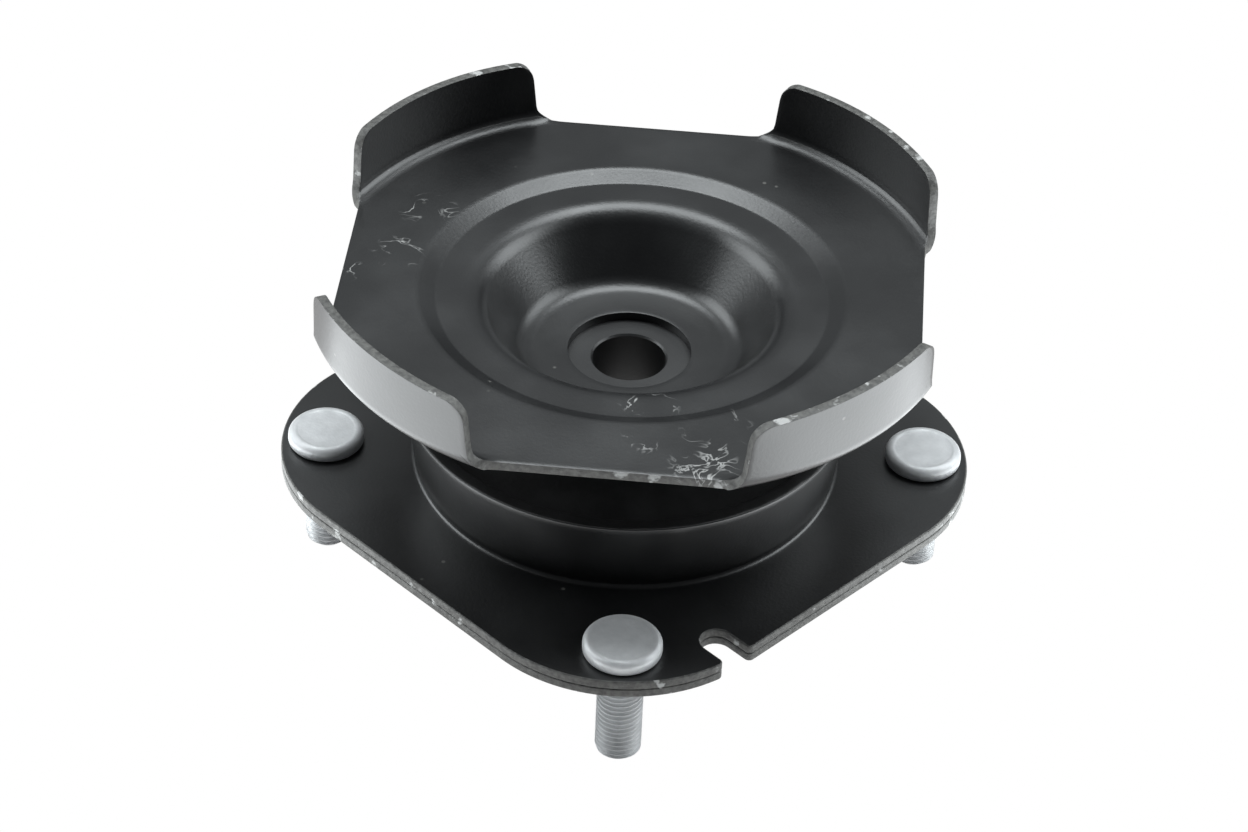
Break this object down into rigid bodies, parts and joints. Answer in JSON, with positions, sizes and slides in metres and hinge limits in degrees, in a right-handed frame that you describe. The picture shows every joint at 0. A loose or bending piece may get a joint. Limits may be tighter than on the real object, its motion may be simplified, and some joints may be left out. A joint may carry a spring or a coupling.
{
  "type": "strut mount",
  "caption": "Bonded-rubber strut mount: rounded-square studded flange, rubber-filled collar with a rod hub, and a pressed dish with upturned ears that seats and centres the coil spring.",
  "frame": {"origin": "on the mount's axis, at the mounting face under the flange", "axes": "+Z along the rod axis from the mounting face towards the spring seat, X and Y along the flange's straight edges, the notch in the +X edge"},
  "size_m": [0.1424, 0.1424, 0.0882],
  "materials": {
    "coated_plate": "semi-gloss black dip coat on pressed steel",
    "plated_studs": "satin zinc plate",
    "rubber": "matt black moulded rubber",
    "coated_hub": "black dip coat on turned steel",
    "coated_seat": "semi-gloss black dip coat on pressed steel, scuffed"
  },
  "bodies": {
    "root": {"lower_plate": "coated_plate", "upper_plate": "coated_plate", "studs": "plated_studs", "rubber_isolator": "rubber", "hub": "coated_hub", "spring_seat": "coated_seat"}
  },
  "joints": []
}
